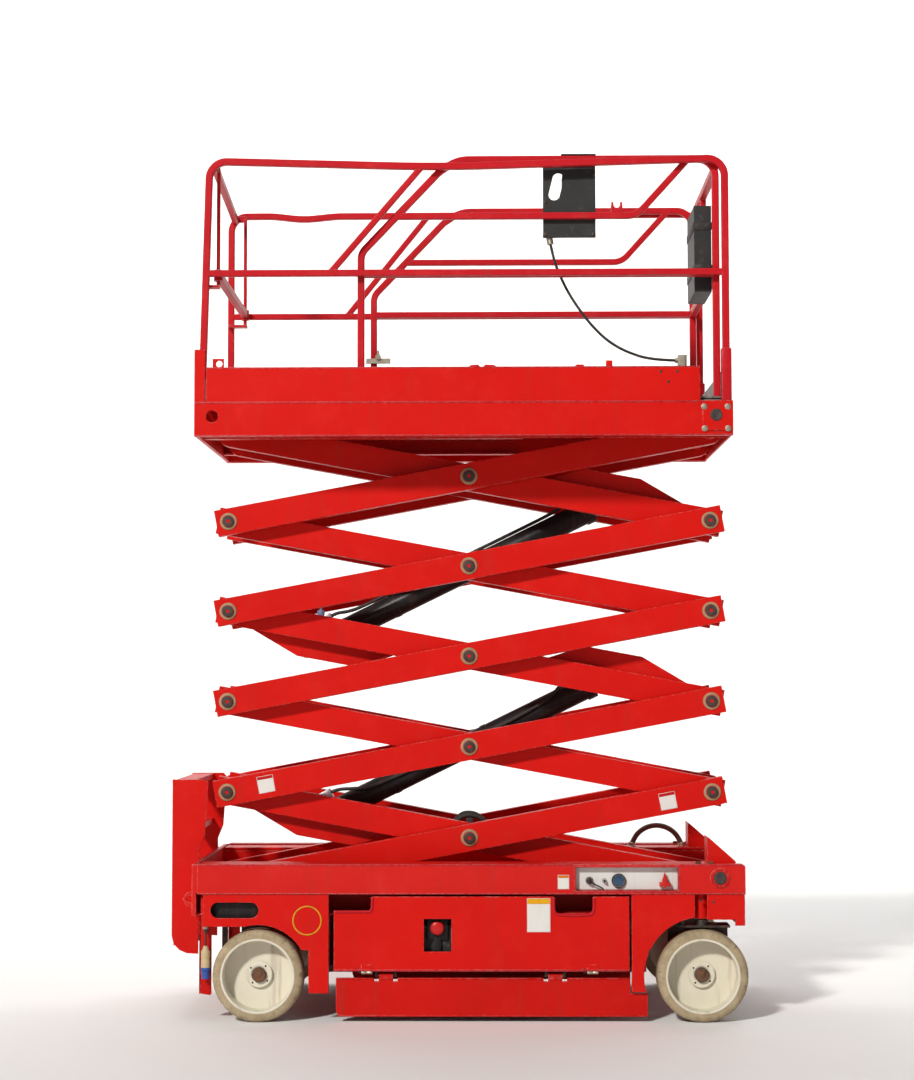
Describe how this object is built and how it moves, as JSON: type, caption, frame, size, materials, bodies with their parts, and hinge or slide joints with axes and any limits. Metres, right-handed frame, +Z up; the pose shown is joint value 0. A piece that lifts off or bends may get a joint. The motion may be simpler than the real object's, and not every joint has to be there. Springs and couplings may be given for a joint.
{
  "type": "scissor lift",
  "caption": "Self-propelled electric scissor lift, partly raised, with a roll-out deck, guardrails, entry ladder, steered front wheels and pothole guards.",
  "frame": {"origin": "on the ground under the middle of the outline", "axes": "+X to the steered front end, +Y to the left side, +Z up"},
  "size_m": [2.4536, 1.2, 3.684],
  "materials": {
    "red_paint": "satin",
    "tyre_rubber": "matte",
    "cream_paint": "satin",
    "black_paint": "satin",
    "chrome_rod": "polished",
    "dark_steel": "satin",
    "zinc": "satin",
    "white_panel": "satin",
    "black_plastic": "matte",
    "red_plastic": "gloss",
    "beige_plastic": "matte",
    "black_rubber": "matte"
  },
  "bodies": {
    "chassis": {"chassis_frame": "red_paint", "rear_fenders": "red_paint", "front_fenders": "red_paint", "floor_pan": "black_paint", "top_covers": "red_paint", "ladder": "red_paint", "control_panel": "white_panel", "disconnect_knob": "red_plastic", "battery_pack": "black_plastic", "rear_axle": "dark_steel", "hose_loop": "black_rubber", "charger_lead": "black_rubber", "charger_plug": "beige_plastic", "charger_gland": "zinc"},
    "door_right": {"door_right": "red_paint"},
    "door_left": {"door_left": "red_paint"},
    "guard_right": {"guard_right": "red_paint"},
    "guard_left": {"guard_left": "red_paint"},
    "knuckle_right": {"knuckle_right": "dark_steel"},
    "knuckle_left": {"knuckle_left": "dark_steel"},
    "tie_rod": {"tie_rod": "dark_steel"},
    "platform": {"platform_frame": "red_paint", "main_deck": "zinc", "guardrail_right": "red_paint", "guardrail_left": "red_paint", "gate_frame": "red_paint", "entry_kick_plate": "red_paint"},
    "entry_bar": {"entry_bar": "red_paint"},
    "extension": {"extension_deck": "zinc", "extension_rail_right": "red_paint", "extension_rail_left": "red_paint", "front_rail": "red_paint", "control_box": "black_paint", "document_box": "black_plastic", "control_cable": "black_rubber", "cable_ends": "zinc", "slide_latch": "zinc"},
    "barrel_lower": {"barrel_lower": "black_paint"},
    "rod_lower": {"rod_lower": "chrome_rod"},
    "barrel_upper": {"barrel_upper": "black_paint"},
    "rod_upper": {"rod_upper": "chrome_rod"},
    "wheel_front_right": {"tyre_front_right": "tyre_rubber", "rim_front_right": "cream_paint"},
    "wheel_front_left": {"tyre_front_left": "tyre_rubber", "rim_front_left": "cream_paint"},
    "wheel_rear_right": {"tyre_rear_right": "tyre_rubber", "rim_rear_right": "cream_paint"},
    "wheel_rear_left": {"tyre_rear_left": "tyre_rubber", "rim_rear_left": "cream_paint"},
    "inner_1": {"inner_1": "red_paint"},
    "outer_1": {"outer_1": "red_paint"},
    "inner_2": {"inner_2": "red_paint"},
    "outer_2": {"outer_2": "red_paint"},
    "inner_3": {"inner_3": "red_paint"},
    "outer_3": {"outer_3": "red_paint"},
    "inner_4": {"inner_4": "red_paint"},
    "outer_4": {"outer_4": "red_paint"},
    "inner_5": {"inner_5": "red_paint"},
    "outer_5": {"outer_5": "red_paint"}
  },
  "joints": [
    {"name": "lift", "type": "hinge", "parent": "chassis", "child": "inner_1", "pos_m": [1.10925, 0, 0.55], "axis": [0, 1, 0], "range_deg": [-6.58, 49.42]},
    {"name": "mid_pin_1", "type": "hinge", "parent": "inner_1", "child": "outer_1", "pos_m": [0.05745, 0, 0.7465], "axis": [0, -1, 0], "range_deg": [-13.17, 98.85]},
    {"name": "front_pin_1", "type": "hinge", "parent": "outer_1", "child": "inner_2", "pos_m": [1.10925, 0, 0.943], "axis": [0, 1, 0], "range_deg": [-13.17, 98.85]},
    {"name": "mid_pin_2", "type": "hinge", "parent": "inner_2", "child": "outer_2", "pos_m": [0.05745, 0, 1.13949], "axis": [0, -1, 0], "range_deg": [-13.17, 98.85]},
    {"name": "front_pin_2", "type": "hinge", "parent": "outer_2", "child": "inner_3", "pos_m": [1.10925, 0, 1.33599], "axis": [0, 1, 0], "range_deg": [-13.17, 98.85]},
    {"name": "mid_pin_3", "type": "hinge", "parent": "inner_3", "child": "outer_3", "pos_m": [0.05745, 0, 1.53249], "axis": [0, -1, 0], "range_deg": [-13.17, 98.85]},
    {"name": "front_pin_3", "type": "hinge", "parent": "outer_3", "child": "inner_4", "pos_m": [1.10925, 0, 1.72898], "axis": [0, 1, 0], "range_deg": [-13.17, 98.85]},
    {"name": "mid_pin_4", "type": "hinge", "parent": "inner_4", "child": "outer_4", "pos_m": [0.05745, 0, 1.92548], "axis": [0, -1, 0], "range_deg": [-13.17, 98.85]},
    {"name": "front_pin_4", "type": "hinge", "parent": "outer_4", "child": "inner_5", "pos_m": [1.10925, 0, 2.12198], "axis": [0, 1, 0], "range_deg": [-13.17, 98.85]},
    {"name": "mid_pin_5", "type": "hinge", "parent": "inner_5", "child": "outer_5", "pos_m": [0.05745, 0, 2.31848], "axis": [0, -1, 0], "range_deg": [-13.17, 98.85]},
    {"name": "platform_pin", "type": "hinge", "parent": "outer_5", "child": "platform", "pos_m": [1.10925, 0, 2.51498], "axis": [0, 1, 0], "range_deg": [-6.59, 49.43]},
    {"name": "barrel_lower_pin", "type": "hinge", "parent": "inner_1", "child": "barrel_lower", "pos_m": [-0.66775, 0, 0.78534], "axis": [0, -1, 0], "range_deg": [-12.71, 95.39]},
    {"name": "rod_lower_slide", "type": "slide", "parent": "barrel_lower", "child": "rod_lower", "axis": [0.8986, 0, 0.4388], "range_m": [-0.14524, 1.0892]},
    {"name": "rod_upper_pin", "type": "hinge", "parent": "inner_5", "child": "rod_upper", "pos_m": [0.78265, 0, 2.27964], "axis": [0, -1, 0], "range_deg": [-12.71, 95.39]},
    {"name": "barrel_upper_slide", "type": "slide", "parent": "rod_upper", "child": "barrel_upper", "axis": [-0.8986, 0, -0.4388], "range_m": [-0.14524, 1.0892]},
    {"name": "steer_right", "type": "hinge", "parent": "chassis", "child": "knuckle_right", "pos_m": [1.03525, -0.533, 0.42], "axis": [0, 0, 1], "range_deg": [-55, 55]},
    {"name": "steer_left", "type": "hinge", "parent": "chassis", "child": "knuckle_left", "pos_m": [1.03525, 0.533, 0.42], "axis": [0, 0, 1], "range_deg": [-55.01, 55.01]},
    {"name": "tie_rod_pin", "type": "hinge", "parent": "knuckle_right", "child": "tie_rod", "pos_m": [0.95525, -0.533, 0.411], "axis": [0, 0, 1], "range_deg": [-55.01, 55.01]},
    {"name": "wheel_front_right_spin", "type": "hinge", "parent": "knuckle_right", "child": "wheel_front_right", "pos_m": [1.03525, -0.533, 0.1915], "axis": [0, 1, 0], "continuous": true},
    {"name": "wheel_front_left_spin", "type": "hinge", "parent": "knuckle_left", "child": "wheel_front_left", "pos_m": [1.03525, 0.533, 0.1915], "axis": [0, 1, 0], "continuous": true},
    {"name": "wheel_rear_right_spin", "type": "hinge", "parent": "chassis", "child": "wheel_rear_right", "pos_m": [-0.82875, -0.533, 0.1915], "axis": [0, 1, 0], "continuous": true},
    {"name": "wheel_rear_left_spin", "type": "hinge", "parent": "chassis", "child": "wheel_rear_left", "pos_m": [-0.82875, 0.533, 0.1915], "axis": [0, 1, 0], "continuous": true},
    {"name": "door_right_hinge", "type": "hinge", "parent": "chassis", "child": "door_right", "pos_m": [0.10825, -0.594, 0.208], "axis": [1, 0, 0], "range_deg": [0, 90]},
    {"name": "door_left_hinge", "type": "hinge", "parent": "chassis", "child": "door_left", "pos_m": [0.10825, 0.594, 0.208], "axis": [-1, 0, 0], "range_deg": [0, 90]},
    {"name": "guard_right_hinge", "type": "hinge", "parent": "chassis", "child": "guard_right", "pos_m": [0.14825, -0.568, 0.194], "axis": [1, 0, 0], "range_deg": [0, 85]},
    {"name": "guard_left_hinge", "type": "hinge", "parent": "chassis", "child": "guard_left", "pos_m": [0.14825, 0.568, 0.194], "axis": [-1, 0, 0], "range_deg": [0, 85]},
    {"name": "extension_slide", "type": "slide", "parent": "platform", "child": "extension", "axis": [1, 0, 0], "range_m": [0, 0.92]},
    {"name": "entry_bar_slide", "type": "slide", "parent": "platform", "child": "entry_bar", "axis": [0, 0, 1], "range_m": [0, 0.4]}
  ],
  "couplings": [
    {"joint": "mid_pin_1", "follows": "lift", "ratio": 2},
    {"joint": "front_pin_1", "follows": "lift", "ratio": 2},
    {"joint": "mid_pin_2", "follows": "lift", "ratio": 2},
    {"joint": "front_pin_2", "follows": "lift", "ratio": 2},
    {"joint": "mid_pin_3", "follows": "lift", "ratio": 2},
    {"joint": "front_pin_3", "follows": "lift", "ratio": 2},
    {"joint": "mid_pin_4", "follows": "lift", "ratio": 2},
    {"joint": "front_pin_4", "follows": "lift", "ratio": 2},
    {"joint": "mid_pin_5", "follows": "lift", "ratio": 2},
    {"joint": "platform_pin", "follows": "lift", "ratio": 1},
    {"joint": "barrel_lower_pin", "follows": "lift", "ratio": 1.93},
    {"joint": "rod_lower_slide", "follows": "lift", "m_per_rad": 1.2626},
    {"joint": "rod_upper_pin", "follows": "lift", "ratio": 1.93},
    {"joint": "barrel_upper_slide", "follows": "lift", "m_per_rad": 1.2626},
    {"joint": "steer_left", "follows": "steer_right", "ratio": 1},
    {"joint": "tie_rod_pin", "follows": "steer_right", "ratio": -1}
  ]
}
